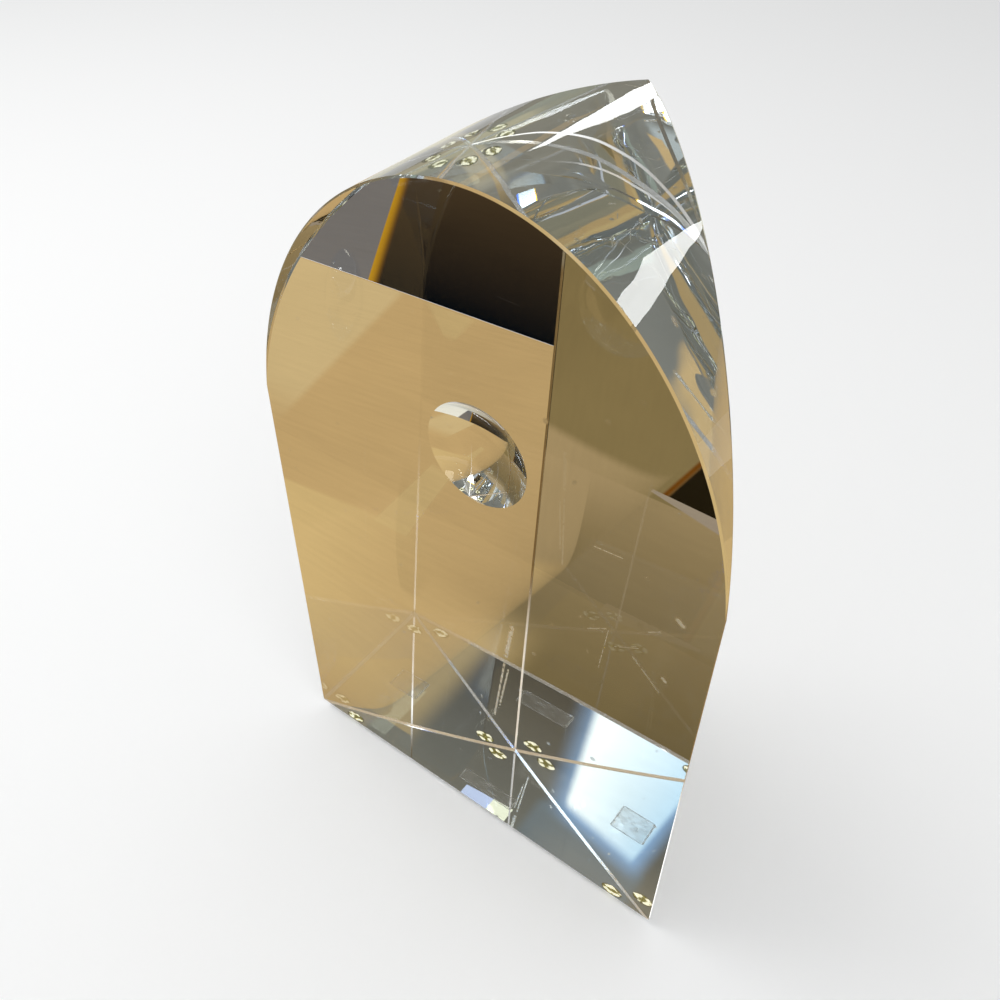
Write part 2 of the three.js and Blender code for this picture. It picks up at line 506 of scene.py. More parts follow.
@dataclass(frozen=True)
class CrystalFinish:
    """Polished clear optical crystal with hairline scratches and a few specks of dust.

    Where it has an edge glow it is a bevel: the glow is painted light, an emission that stands for the light
    that an edge gathers. It is full near the base's side corners, weaker between them and at the very foot,
    and gone further up, where a painted brown shade darkens the bevels' base colour. Heights, reaches and the
    waviness are in millimetres.
    """

    name: str
    tint: Colour = WHITE
    refraction: float = 1.54
    clearness: float = 1.0
    ground_roughness: float = 0.0
    scratch_scale: float = 420.0
    scratch_amount: float = 0.6
    scratch_roughness: float = 0.10
    dust_scale: float = 160.0
    dust_amount: float = 1.0
    dust_roughness: float = 0.25
    scuffs: tuple[Scuff, ...] = ()
    scuffed_face_y: float = 0.0
    scuffed_depth: float = 0.05
    scuff_roughness: float = 0.55
    # painted glint: the scuffs give off this faint light of their own, in the colour below
    scuff_painted_glint: float = 0.13
    scuff_glint_colour: Colour = (1.0, 0.92, 0.72, 1.0)
    edge_glow: float = 0.0
    glow_rise: Step = (3.0, 4.5)
    glow_fall: Step = (80.0, 45.0)
    glow_reach: Step = (50.0, 58.0)
    middle_glow: Colour = (0.38, 0.38, 0.38, 1.0)
    foot_glow: Colour = (0.08, 0.08, 0.08, 1.0)
    upper_glow: Colour = (0.008, 0.006, 0.004, 1.0)
    # painted shade: the bevels' base colour turns to this brown above the glow's fall
    upper_painted_shade: Colour = (0.26, 0.17, 0.08, 1.0)
    waviness: float = 0.0
    wave_scale: float = 70.0
    wavy_above: float = 20.0
    arch_lean: float = 0.02
    depth_colour: Colour = (0.30, 0.45, 0.58, 1.0)
    depth_density: float = 1.0
    shadow_tint: Colour = (0.62, 0.62, 0.62, 1.0)

    def material(self, effects: Effects) -> bpy.types.Material:
        """The finish as a material, through which rays to a lamp pass straight.

        Args:
            effects: the shared effects.

        Returns:
            The material.
        """
        material, wires = new_material(self.name)
        place = wires.place()
        sockets = {
            "Base Color": self.tint,
            "Metallic": 0.0,
            "IOR": self.refraction,
            "Transmission Weight": self.clearness,
            "Roughness": self.wear(wires, place, effects),
        }
        if self.scuffs:
            sockets |= self.scuffs_and_painted_glint(wires, place, effects, sockets["Roughness"])
        if self.edge_glow > 0.0:
            sockets |= self.glowing(wires, place)
        if self.waviness > 0.0:
            sockets["Normal"] = self.wavy_normal(wires, place)
        glass = wires.add("ShaderNodeBsdfPrincipled", sockets)
        clear = wires.add("ShaderNodeBsdfTransparent", {"Color": self.shadow_tint})
        lamp_ray = wires.add("ShaderNodeLightPath").outputs["Is Shadow Ray"]
        both = wires.add("ShaderNodeMixShader", {0: lamp_ray, 1: glass.outputs[0], 2: clear.outputs[0]})
        depth = {"Color": self.depth_colour, "Density": self.depth_density}
        inside = wires.add("ShaderNodeVolumeAbsorption", depth)
        wires.add("ShaderNodeOutputMaterial", {"Surface": both.outputs[0], "Volume": inside.outputs[0]})
        return material

    def wear(self, wires: Wiring, place: Socket, effects: Effects) -> Socket:
        """Roughness from grinding, scratches and dust.

        Args:
            wires: wiring of the material.
            place: socket of the object's coordinates.
            effects: the shared effects.

        Returns:
            The roughness.
        """
        where = {"Vector": place, "Scale": self.scratch_scale, "Amount": self.scratch_amount}
        scratches = wires.effect(effects.scratches, where)
        dust = wires.effect(
            effects.dust, {"Vector": place, "Scale": self.dust_scale, "Amount": self.dust_amount}
        )
        rough = wires.math(
            "ADD",
            wires.math("MULTIPLY", scratches, self.scratch_roughness),
            wires.math("MULTIPLY", dust, self.dust_roughness),
        )
        return wires.math("ADD", rough, self.ground_roughness)

    def scuffs_and_painted_glint(self, wires: Wiring, place: Socket, effects: Effects, rough: Socket) -> dict[str, object]:
        """What the scuffs change: they are rough, and give off a faint painted glint, an emission where they
        would catch the light.

        Args:
            wires: wiring of the material.
            place: socket of the object's coordinates.
            effects: the shared effects.
            rough: roughness beside the scuffs.

        Returns:
            The shader's inputs, by name.
        """
        marks = self.scuff_mask(wires, place, effects)
        rougher = wires.math("MULTIPLY", marks, self.scuff_roughness)
        return {
            "Roughness": wires.math("ADD", rough, rougher, clamp=True),
            # painted glint: the scuff mask drives an emission
            "Emission Color": wires.blend(marks, BLACK, self.scuff_glint_colour),
            "Emission Strength": self.scuff_painted_glint,
        }

    def glowing(self, wires: Wiring, place: Socket) -> dict[str, object]:
        """What the painted glow of a bevel changes, and the painted brown shade of the upper bevels.

        Args:
            wires: wiring of the material.
            place: socket of the object's coordinates.

        Returns:
            The shader's inputs, by name.
        """
        height = wires.axis(place, "Z")
        low = wires.ramp(height, *metres(self.glow_fall))
        raised = wires.ramp(height, *metres(self.glow_rise))
        out = wires.math("ABSOLUTE", wires.axis(place, "X"))
        corner = wires.ramp(out, *metres(self.glow_reach))
        glow = wires.blend(corner, self.middle_glow, WHITE)
        glow = wires.blend(raised, self.foot_glow, glow)
        return {
            # painted shade: the upper bevels are darkened to a brown in their base colour
            "Base Color": wires.blend(low, self.upper_painted_shade, self.tint),
            "Emission Color": wires.blend(low, self.upper_glow, glow),
            "Emission Strength": self.edge_glow,
        }

    def wavy_normal(self, wires: Wiring, place: Socket) -> Socket:
        """Slight waviness of the polished arch, which faces neither front nor back and lies above the base.

        Args:
            wires: wiring of the material.
            place: socket of the object's coordinates.

        Returns:
            The normal.
        """
        facing = wires.add("ShaderNodeNewGeometry").outputs["True Normal"]
        forward = wires.math("ABSOLUTE", wires.axis(facing, "Y"))
        upright = wires.math("LESS_THAN", forward, self.arch_lean)
        above = wires.math("GREATER_THAN", wires.axis(place, "Z"), self.wavy_above * MM)
        arch = wires.math("MULTIPLY", upright, above)
        swell = wires.noise(place, self.wave_scale, detail=1.0)
        height = wires.math("MULTIPLY", swell, arch)
        bump = wires.add("ShaderNodeBump", {"Height": height, "Distance": self.waviness * MM})
        return bump.outputs["Normal"]

    def scuff_mask(self, wires: Wiring, place: Socket, effects: Effects) -> Socket:
        """Mask of all the scuffs, on the scuffed face alone.

        Args:
            wires: wiring of the material.
            place: socket of the object's coordinates.
            effects: the shared effects.

        Returns:
            The mask, 1 inside a scuff.
        """
        labels = ("Start X", "Start Z", "Reach X", "Reach Z", "Width")
        most = None
        for scuff in self.scuffs:
            sizes = zip(labels, (*scuff.start, *scuff.reach, scuff.width))
            inputs = {"Vector": place} | {label: size * MM for label, size in sizes}
            mark = wires.effect(effects.scuff, inputs)
            most = mark if most is None else wires.math("MAXIMUM", most, mark)
        face_y = (self.scuffed_face_y + self.scuffed_depth) * MM
        on_face = wires.math("LESS_THAN", wires.axis(place, "Y"), face_y)
        return wires.math("MULTIPLY", most, on_face)


@dataclass(frozen=True)
class BumperFinish:
    """Clear soft polyurethane, slightly yellowed: an olive body, painted pale glints that glow where the dome
    would gather light, and a painted dark shade at the rim.

    The ring and the rim are in shares of the foot's radius.
    """

    # painted highlight: the glints take this pale base colour and a glow of their own
    painted_gleam_colour: Colour = (1.0, 0.97, 0.72, 1.0)
    body_colour: Colour = (0.46, 0.42, 0.10, 1.0)
    # painted shade: the foot darkens to this towards its rim
    rim_painted_shade: Colour = (0.10, 0.09, 0.02, 1.0)
    rim: Step = (0.84, 0.97)
    ripple_scale: float = 480.0
    ring_inside: Step = (0.30, 0.62)
    ring_outside: Step = (0.98, 0.80)
    ring_lift: float = 0.16
    painted_gleam_step: Step = (0.56, 0.66)
    painted_gleam_strength: float = 0.7
    body_cover: float = 0.80
    refraction: float = 1.48
    roughness: float = 0.16
    dust_scale: float = 900.0
    dust_amount: float = 0.4
    dust_roughness: float = 0.5

    def material(self, name: str, centre: Point, radius: float, effects: Effects) -> bpy.types.Material:
        """The finish as a material whose rim follows one foot.

        Args:
            name: name of the material.
            centre: the foot's axis in plan, in millimetres.
            radius: the foot's radius in millimetres.
            effects: the shared effects.

        Returns:
            The material.
        """
        material, wires = new_material(name)
        place = wires.place()
        level = {0: wires.centred(place, centre), 1: (1.0, 1.0, 0.0)}
        flat = wires.add("ShaderNodeVectorMath", level, operation="MULTIPLY")
        reach = wires.add("ShaderNodeVectorMath", {0: flat.outputs[0]}, operation="LENGTH")
        share = wires.math("DIVIDE", reach.outputs["Value"], radius * MM)
        ripple = wires.noise(place, self.ripple_scale, detail=1.0)
        ring = wires.math(
            "MULTIPLY", wires.ramp(share, *self.ring_inside), wires.ramp(share, *self.ring_outside)
        )
        lift = wires.math("ADD", ripple, wires.math("MULTIPLY", ring, self.ring_lift))
        # painted highlight: noise raised in a ring picks out the glints
        painted_gleam_mask = wires.ramp(lift, *self.painted_gleam_step)
        # painted shade: the body's colour darkens to the rim shade
        body_colour = wires.blend(wires.ramp(share, *self.rim), self.body_colour, self.rim_painted_shade)
        dust = wires.effect(
            effects.dust, {"Vector": place, "Scale": self.dust_scale, "Amount": self.dust_amount}
        )
        dusty = wires.math("MULTIPLY", dust, self.dust_roughness)
        body = wires.add(
            "ShaderNodeBsdfPrincipled",
            {
                "Base Color": wires.blend(painted_gleam_mask, body_colour, self.painted_gleam_colour),
                "Roughness": wires.math("ADD", dusty, self.roughness),
                "Metallic": 0.0,
                "IOR": self.refraction,
                "Alpha": wires.math("MAXIMUM", painted_gleam_mask, self.body_cover),
                "Emission Color": wires.blend(painted_gleam_mask, BLACK, self.painted_gleam_colour),
                "Emission Strength": self.painted_gleam_strength,
            },
        )
        wires.add("ShaderNodeOutputMaterial", {"Surface": body.outputs[0]})
        return material


@dataclass(frozen=True)
class FilmFinish:
    """Plain translucent film, cloudy from its adhesive, whiter along its cut edges.

    A cover is the share of the light that the film keeps back. The border is in millimetres from the edge.
    """

    colour: Colour = (0.80, 0.81, 0.80, 1.0)
    roughness: float = 0.35
    refraction: float = 1.5
    least_cover: float = 0.06
    cloud_scale: float = 420.0
    clouds: Step = (0.35, 0.75)
    cloud_cover: float = 0.24
    border: Step = (0.7, 0.3)
    border_cover: float = 0.30
    dust_scale: float = 700.0
    dust_cover: float = 0.3

    def material(self, centre: Point, half: Point, effects: Effects) -> bpy.types.Material:
        """The finish as a material whose pale border follows the label's edges.

        Args:
            centre: the label's centre in plan, in millimetres.
            half: half of its length and of its width, in millimetres.
            effects: the shared effects.

        Returns:
            The material.
        """
        material, wires = new_material("label_film")
        place = wires.place()
        centred = wires.centred(place, centre)
        borders = []
        for axis, reach in zip("XY", half):
            away = wires.math("ABSOLUTE", wires.axis(centred, axis))
            borders.append(wires.ramp(away, *metres((reach - self.border[0], reach - self.border[1]))))
        border = wires.math("MAXIMUM", *borders)
        cloudy = wires.ramp(wires.noise(place, self.cloud_scale, detail=4.0), *self.clouds)
        dust = wires.effect(effects.dust, {"Vector": place, "Scale": self.dust_scale})
        cover = wires.math("ADD", wires.math("MULTIPLY", cloudy, self.cloud_cover), self.least_cover)
        cover = wires.math("ADD", cover, wires.math("MULTIPLY", border, self.border_cover))
        cover = wires.math("ADD", cover, wires.math("MULTIPLY", dust, self.dust_cover), clamp=True)
        body = wires.add(
            "ShaderNodeBsdfPrincipled",
            {
                "Base Color": self.colour,
                "Roughness": self.roughness,
                "Metallic": 0.0,
                "IOR": self.refraction,
                "Alpha": cover,
            },
        )
        wires.add("ShaderNodeOutputMaterial", {"Surface": body.outputs[0]})
        return material


@dataclass(frozen=True)
class CrystalBlock:
    """The block: a right-angled prism with an arched top, bevelled edges and one ground hollow.

    Lengths are in millimetres. Each face is drawn in by the bevel, and flat strips join the faces.
    """

    half_width: float
    front_y: float
    ridge_y: float
    underside_z: float
    crown_z: float
    spring_height: float = 125.0
    arch_overhang: float = 1.1
    bevel: float = 0.4
    base_bevel: float = 0.8
    eye_diameter: float = 25.0
    eye_depth: float = 4.5
    eye_height: float = 135.0
    eye_offset: float = 2.2
    sharp_angle: float = 8.0
    half_arch_steps: int = 200
    angle_samples: int = 4001
    side_steps: int = 40
    bottom_steps: int = 60
    crown_rows: int = 12
    front_rows: int = 4
    hollow_rows: int = 48

    @classmethod
    def from_frame(cls, node: str) -> "CrystalBlock":
        """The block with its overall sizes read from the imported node's box."""
        low, high = node_box(node)
        return cls(high.x, low.y, high.y, low.z, high.z)

    @property
    def back_angle(self) -> float:
        """Angle in plan between the front face and a back face."""
        return math.atan2(self.ridge_y - self.front_y, self.half_width)

    @property
    def stretch(self) -> float:
        """Length along a back face for each unit along X."""
        return 1.0 / math.cos(self.back_angle)

    @property
    def sharp_half_width(self) -> float:
        """Half of the front face's width, up to the corners as they were before the bevel."""
        return self.half_width + self.bevel * math.cos(self.back_angle)

    @property
    def sharp_ridge_y(self) -> float:
        """The ridge's place along Y before the bevel."""
        return self.ridge_y + self.bevel * math.sin(self.back_angle)

    @property
    def arch_half_span(self) -> float:
        """Half of the width of the ellipse that the arch is a part of."""
        return self.sharp_half_width + self.arch_overhang

    @property
    def arch_half_height(self) -> float:
        """Half of the height of that ellipse, which passes the springing points and the crown."""
        rise = self.crown_z - self.underside_z - self.spring_height
        return rise / (1.0 - math.sqrt(1.0 - (self.sharp_half_width / self.arch_half_span) ** 2))

    @property
    def arch_centre_z(self) -> float:
        """Height of the ellipse's centre."""
        return self.crown_z - self.arch_half_height

    def back_y(self, x: np.ndarray) -> np.ndarray:
        """Depth of the back faces at places along X."""
        return self.sharp_ridge_y - np.abs(x) * math.tan(self.back_angle)

    def arch(self, angle: np.ndarray) -> tuple[np.ndarray, np.ndarray]:
        """Points of the ellipse: x = a sin(angle), z = centre + b cos(angle).

        Args:
            angle: angles from the crown.

        Returns:
            The points' x and z.
        """
        return self.arch_half_span * np.sin(angle), self.arch_centre_z + self.arch_half_height * np.cos(angle)

    def arch_in_face(self, angle: np.ndarray, stretch: float) -> tuple[np.ndarray, np.ndarray]:
        """The arch as it crosses an upright face, moved inwards along its normal by the bevel.

        Args:
            angle: angles from the crown.
            stretch: length along the face for each unit along X.

        Returns:
            Distance along the face from the middle plane, and height.
        """
        x, z = self.arch(angle)
        half_span = stretch * self.arch_half_span
        normal = np.stack([np.sin(angle) / half_span, np.cos(angle) / self.arch_half_height])
        normal /= np.linalg.norm(normal, axis=0)
        return stretch * x - self.bevel * normal[0], z - self.bevel * normal[1]

    def angle_where(self, along: float, stretch: float) -> float:
        """Angle at which the inset arch of a face is a given distance from the middle plane."""
        angle = np.linspace(0.0, math.pi / 2.0, self.angle_samples)
        return float(np.interp(along, self.arch_in_face(angle, stretch)[0], angle))

    @property
    def eye_centre(self) -> Point:
        """The eye's centre on the front face, along X and Z."""
        return self.eye_offset, self.underside_z + self.eye_height

    def front_edges(self) -> dict[str, np.ndarray]:
        """Edges of the inset front face, each from left to right or from bottom to top.

        Returns:
            The bottom edge, the right side and the arch, which runs from left to right.
        """
        side_x = self.sharp_half_width - self.bevel
        bottom_z = self.underside_z + self.base_bevel
        end = self.angle_where(side_x, 1.0)
        x, z = self.arch_in_face(np.linspace(-end, end, 2 * self.half_arch_steps + 1), 1.0)
        arch = np.stack([x, np.full_like(x, self.front_y), z], axis=-1)
        along = np.linspace(-side_x, side_x, self.bottom_steps + 1)
        bottom = np.stack([along, np.full_like(along, self.front_y), np.full_like(along, bottom_z)], axis=-1)
        up = np.linspace(0.0, 1.0, self.side_steps + 1)[:, None]
        return {"bottom": bottom, "side": (1.0 - up) * bottom[-1] + up * arch[-1], "arch": arch}

    def back_edges(self) -> dict[str, np.ndarray]:
        """Edges of the inset right back face.

        Returns:
            The top and bottom edges from the ridge outwards, and the ridge and corner edges upwards.
        """
        near, far = self.bevel, self.stretch * self.sharp_half_width - self.bevel
        ends = [self.angle_where(along, self.stretch) for along in (near, far)]
        along, z = self.arch_in_face(np.linspace(*ends, self.half_arch_steps + 1), self.stretch)
        x = along / self.stretch
        top = np.stack([x, self.back_y(x), z], axis=-1)
        bottom = top.copy()
        bottom[:, 2] = self.underside_z + self.base_bevel
        up = np.linspace(0.0, 1.0, self.side_steps + 1)[:, None]
        ridge = (1.0 - up) * bottom[0] + up * top[0]
        corner = (1.0 - up) * bottom[-1] + up * top[-1]
        return {"top": top, "bottom": bottom, "ridge": ridge, "corner": corner}

    def crown_edges(self) -> tuple[np.ndarray, np.ndarray]:
        """Front and back edges of the arched top from left to right: they meet in a tip at each side.

        Returns:
            Stations of the front edge and of the back edge.
        """
        room = self.sharp_ridge_y - self.front_y - self.bevel * (1.0 + self.stretch)
        tip = math.asin(room / math.tan(self.back_angle) / self.arch_half_span)
        x, z = self.arch(np.linspace(-tip, tip, 2 * self.half_arch_steps + 1))
        front = np.stack([x, np.full_like(x, self.front_y + self.bevel), z], axis=-1)
        back = np.stack([x, self.back_y(x) - self.bevel * self.stretch, z], axis=-1)
        return front, back

    def base_edges(self) -> dict[str, np.ndarray]:
        """Edges of the inset base.

        Returns:
            The front edge from left to right, and the right back edge from the ridge outwards.
        """
        front_y = self.front_y + self.base_bevel
        ridge = np.array([0.0, self.sharp_ridge_y - self.base_bevel * self.stretch, self.underside_z])
        corner = np.array([(ridge[1] - front_y) / math.tan(self.back_angle), front_y, self.underside_z])
        left = corner * LEFT_FROM_RIGHT
        across = np.linspace(0.0, 1.0, self.bottom_steps + 1)[:, None]
        out = np.linspace(0.0, 1.0, self.half_arch_steps + 1)[:, None]
        return {"front": (1.0 - across) * left + across * corner, "back": (1.0 - out) * ridge + out * corner}

    def hollow(self, direction: np.ndarray) -> Patch:
        """The eye: a spherical cap, point(u, v) = centre + R (sin v cos u, cos v, sin v sin u).

        Args:
            direction: angle of each rim station about the eye's centre.

        Returns:
            The patch, from the rim to the deepest point.
        """
        rim = self.eye_diameter / 2.0
        sphere = (rim**2 + self.eye_depth**2) / (2.0 * self.eye_depth)
        lean = np.linspace(math.asin(rim / sphere), 0.0, self.hollow_rows)[:, None]
        x = self.eye_centre[0] + sphere * np.sin(lean) * np.cos(direction)[None]
        z = self.eye_centre[1] + sphere * np.sin(lean) * np.sin(direction)[None]
        y = np.repeat(self.front_y + self.eye_depth - sphere + sphere * np.cos(lean), len(direction), axis=1)
        points = np.stack([x, y, z], axis=-1).reshape(-1, 3)
        return Patch(points, grid_faces(self.hollow_rows, len(direction), True))

    def front_patches(self, edges: dict[str, np.ndarray]) -> list[Patch]:
        """The front face round the eye's rim, and the eye's hollow.

        Args:
            edges: edges of the front face.

        Returns:
            The patches.
        """
        left_side = edges["side"][::-1] * LEFT_FROM_RIGHT
        stretches = [edges["bottom"][:-1], edges["side"][:-1], edges["arch"][:0:-1], left_side[:-1]]
        outline = np.concatenate(stretches)
        direction = np.arctan2(outline[:, 2] - self.eye_centre[1], outline[:, 0] - self.eye_centre[0])
        hollow = self.hollow(direction)
        rim = hollow.points[: len(direction)]
        return [ruled_patch(rim, outline, rows=self.front_rows, closed=True), hollow]

    def side_patches(self, side: Side) -> list[Patch]:
        """One back face with its bevels, and the bevels and corners that join it to the rest.

        Args:
            side: which side of the middle plane.

        Returns:
            The patches.
        """
        mirror = np.array([side.value, 1.0, 1.0])
        half = self.half_arch_steps
        front = self.front_edges()
        back = {name: edge * mirror for name, edge in self.back_edges().items()}
        base = {name: edge * mirror for name, edge in self.base_edges().items()}
        front_side = front["side"] * mirror
        crown_back = self.crown_edges()[1][half:] * mirror
        return [
            ruled_patch(back["bottom"], back["top"], rows=self.side_steps + 1),
            bevel_patch(front_side, back["corner"]),
            bevel_patch(back["bottom"], base["back"]),
            ruled_patch(back["top"], crown_back),
            corner_patch(front_side[0], back["corner"][0], base["back"][-1]),
            corner_patch(front_side[-1], back["corner"][-1], crown_back[-1]),
        ]

    def shared_patches(self, front: dict[str, np.ndarray]) -> list[Patch]:
        """The arched top, the base, and the bevels that lie on the middle plane.

        Args:
            front: edges of the front face.

        Returns:
            The patches.
        """
        crown_front, crown_back = self.crown_edges()
        base = self.base_edges()
        back = self.back_edges()
        ridge_foot, ridge_top = back["ridge"][0], back["ridge"][-1]
        crown_end = crown_back[self.half_arch_steps]
        base_end = base["back"][0]
        left_back = base["back"] * LEFT_FROM_RIGHT
        outline = np.concatenate([base["front"][:-1], base["back"][:0:-1], left_back[:-1]])
        return [
            ruled_patch(crown_front, crown_back, rows=self.crown_rows),
            ruled_patch(front["arch"], crown_front),
            bevel_patch(front["bottom"], base["front"]),
            fan_patch(outline),
            bevel_patch(back["ridge"], back["ridge"] * LEFT_FROM_RIGHT),
            corner_patch(ridge_top, ridge_top * LEFT_FROM_RIGHT, crown_end),
            corner_patch(ridge_foot, ridge_foot * LEFT_FROM_RIGHT, base_end),
        ]

    def build(self) -> bpy.types.Object:
        """The block's mesh as an object.

        Returns:
            The object.
        """
        front = self.front_edges()
        patches = self.front_patches(front) + self.shared_patches(front)
        for side in Side:
            patches += self.side_patches(side)
        return mesh_object("crystal", patches, self.sharp_angle)

    def dress(self, effects: Effects) -> bpy.types.Object:
        """Builds the block and puts it in the place of its node, in polished crystal.

        Args:
            effects: the shared effects.

        Returns:
            The block.
        """
        piece = self.build()
        finishes = {
            Grind.POLISHED: CrystalFinish(
                "polished_crystal", scuffs=FRONT_SCUFFS, scuffed_face_y=self.front_y, waviness=0.06
            ),
            Grind.BEVEL: CrystalFinish("ground_bevels", ground_roughness=0.08, clearness=0.6, edge_glow=1.15),
        }
        materials = [finishes[grind].material(effects) for grind in Grind]
        install(piece, "crystal_block", Slot.CRYSTAL, *materials)
        return piece


@dataclass(frozen=True)
class BumperFoot:
    """A domed self-adhesive foot: a flat tip, a rounded side, and a wide face stuck to the block."""

    node: str
    tip_share: float = 0.5
    bite: float = 0.04
    sharp_angle: float = 35.0
    arc_steps: int = 24
    flat_steps: int = 6
    segments: int = 96

    def dress(self, effects: Effects) -> bpy.types.Object:
        """Builds the foot in the place of its node.

        The profile runs along the tip, up a quarter of an ellipse, and back over the stuck face, which
        bites a little into the block so that it is seen through the crystal as a wetted face is.

        Args:
            effects: the shared effects.

        Returns:
            The foot.
        """
        low, high = node_box(self.node)
        centre = plan_middle(low, high)
        rim = (high.x - low.x) / 2.0
        tip = rim * self.tip_share
        turn = np.linspace(0.0, math.pi / 2.0, self.arc_steps)
        across = np.linspace(0.0, 1.0, self.flat_steps)
        radius = np.concatenate([tip * across[:-1], tip + (rim - tip) * np.sin(turn), rim * across[::-1]])
        tip_z = np.full(self.flat_steps - 1, low.z)
        side_z = (high.z - low.z) * (1.0 - np.cos(turn)) + low.z
        stuck_z = np.full(self.flat_steps, high.z + self.bite)
        dome = turned_patch(radius, np.concatenate([tip_z, side_z, stuck_z]), centre, self.segments)
        piece = mesh_object(self.node.replace("foot", "bumper"), [dome], self.sharp_angle)
        finish = BumperFinish().material(f"polyurethane_{self.node}", centre, rim, effects)
        install(piece, self.node, Slot.BUMPER, finish)
        return piece


@dataclass(frozen=True)
class BaseLabel:
    """A thin film with rounded corners, stuck under the base."""

    node: str = "base_label"
    corner_radius: float = 1.0
    bite: float = 0.03
    corner_steps: int = 10

    def outline(self, half: Point) -> np.ndarray:
        """A rectangle with rounded corners about the origin: quarter circles about four inner points.

        Args:
            half: half of its length and of its width.

        Returns:
            Points of the outline in plan.
        """
        turn = np.linspace(0.0, math.pi / 2.0, self.corner_steps)
        quarter = np.arange(4)[:, None] * math.pi / 2.0
        signs = np.array([[1.0, 1.0], [-1.0, 1.0], [-1.0, -1.0], [1.0, -1.0]])
        inner = signs * (np.array(half) - self.corner_radius)
        arc = np.stack([np.cos(quarter + turn), np.sin(quarter + turn)], axis=-1) * self.corner_radius
        return (inner[:, None] + arc).reshape(-1, 2)

    def dress(self, effects: Effects) -> bpy.types.Object:
        """Builds the label in the place of its node: two faces and a rim between them.

        Args:
            effects: the shared effects.

        Returns:
            The label.
        """
        low, high = node_box(self.node)
        centre = plan_middle(low, high)
        half = ((high.x - low.x) / 2.0, (high.y - low.y) / 2.0)
        plan = self.outline(half) + np.array(centre)
        upper = np.concatenate([plan, np.full((len(plan), 1), high.z + self.bite)], axis=1)
        lower = np.concatenate([plan, np.full((len(plan), 1), low.z)], axis=1)
        rim = ruled_patch(lower, upper, closed=True)
        piece = mesh_object("label", [rim, fan_patch(lower), fan_patch(upper)])
        install(piece, self.node, Slot.FILM, FilmFinish().material(centre, half, effects))
        return piece


@dataclass(frozen=True)
class PhotoCamera:
    """The camera at the photograph's viewing angle. Lengths are in millimetres, angles in degrees."""

    place: tuple[float, float, float] = (95.755, -151.417, 267.99)
    azimuth: float = 35.763
    pitch: float = 43.043
    roll: float = 0.965
    lens: float = 35.904
    sensor: float = 36.0
    near_clip: float = 5.0

    def axes(self) -> Matrix:
        """Turning of the camera: it looks along its own -Z, with +Y up in the picture.

        Returns:
            The turning as a matrix.
        """
        turn, tip, lean = (math.radians(angle) for angle in (self.azimuth, self.pitch, self.roll))
        ahead = Vector((-math.sin(turn) * math.cos(tip), math.cos(turn) * math.cos(tip), -math.sin(tip)))
        level = Vector((math.cos(turn), math.sin(turn), 0.0))
        upright = level.cross(ahead)
        right = level * math.cos(lean) + upright * math.sin(lean)
        up = upright * math.cos(lean) - level * math.sin(lean)
        return Matrix((right, up, -ahead)).transposed().to_4x4()

    def build(self) -> bpy.types.Object:
        """Makes it the scene's camera.

        Returns:
            The camera.
        """
        data = bpy.data.cameras.new("photo_camera")
        data.sensor_fit = "HORIZONTAL"
        data.sensor_width = self.sensor
        data.lens = self.lens
        data.clip_start = self.near_clip * MM
        camera = bpy.data.objects.new("photo_camera", data)
        camera.matrix_world = Matrix.Translation(Vector(self.place) * MM) @ self.axes()
        bpy.context.scene.collection.objects.link(camera)
        bpy.context.scene.camera = camera
        return camera


class Tone(Enum):
    """Colours of the surroundings that the crystal shows, as linear red, green and blue."""

    TABLE_TAN = (0.565, 0.38, 0.163)
    PALE_TAN = (0.63, 0.465, 0.222)
    WARM_TAN = (0.66, 0.47, 0.20)
    MID_TAN = (0.43, 0.305, 0.145)
    OLIVE = (0.245, 0.176, 0.069)
    DEEP_OLIVE = (0.145, 0.104, 0.039)
    SLIVER = (0.36, 0.285, 0.20)
    NEAR_BLACK = (0.004, 0.002, 0.0)
    BLUE_BLACK = (0.001, 0.003, 0.005)
    BROWN = (0.145, 0.088, 0.036)
    AMBER = (0.55, 0.29, 0.010)
    BURNT = (0.16, 0.05, 0.002)
    GREY = (0.165, 0.158, 0.152)
    BRIGHT_GREY = (0.90, 0.88, 0.76)
    # painted shade of the table under the block
    MAT_GREY = (0.25, 0.235, 0.185)
    ROOM_GREY = (0.255, 0.245, 0.205)
    CEILING_GREY = (0.205, 0.208, 0.175)
    CEILING_DARK = (0.004, 0.004, 0.007)
    CEILING_BLUE = (0.165, 0.21, 0.23)
    WALL_TAN = (0.80, 0.55, 0.25)
    WINDOW_BLUE = (0.68, 1.00, 1.20)
    WINDOW_WHITE = (1.48, 1.58, 1.46)
    GLOW_BLUE = (0.30, 0.52, 0.80)
    LAMP_YELLOW = (1.20, 1.25, 0.95)
    LAMP_BLUE = (0.72, 0.86, 1.16)
    PANEL_WHITE = (9.5, 9.6, 9.5)
    PANEL_SOFT = (6.5, 6.6, 6.5)
    PANEL_WARM = (4.2, 4.0, 3.3)
    PANEL_COOL = (3.0, 3.6, 3.9)
    PANEL_AMBER = (4.0, 2.3, 0.10)
    PANEL_BLUE = (0.15, 0.9, 4.2)
    SOFT_TAN = (0.60, 0.425, 0.185)
    DULL_TAN = (0.44, 0.345, 0.185)
    GREY_OLIVE = (0.30, 0.27, 0.18)
    EDGE_GREY = (0.46, 0.40, 0.26)
    ROOM_LIGHT = (0.62, 0.66, 0.62)
    ROOM_GREEN = (0.42, 0.47, 0.38)
    FAR_GREY = (0.20, 0.19, 0.15)


def show_in_crystal(surface: bpy.types.Object, glow: bpy.types.Material) -> None:
    """Dresses a stage surface so that only reflected and refracted rays meet it.

    Args:
        surface: the card or shell.
        glow: its even light.
    """
    glow.cycles.emission_sampling = "NONE"
    surface.data.materials.append(glow)
    surface.visible_camera = False
    surface.visible_diffuse = False
    surface.visible_shadow = False


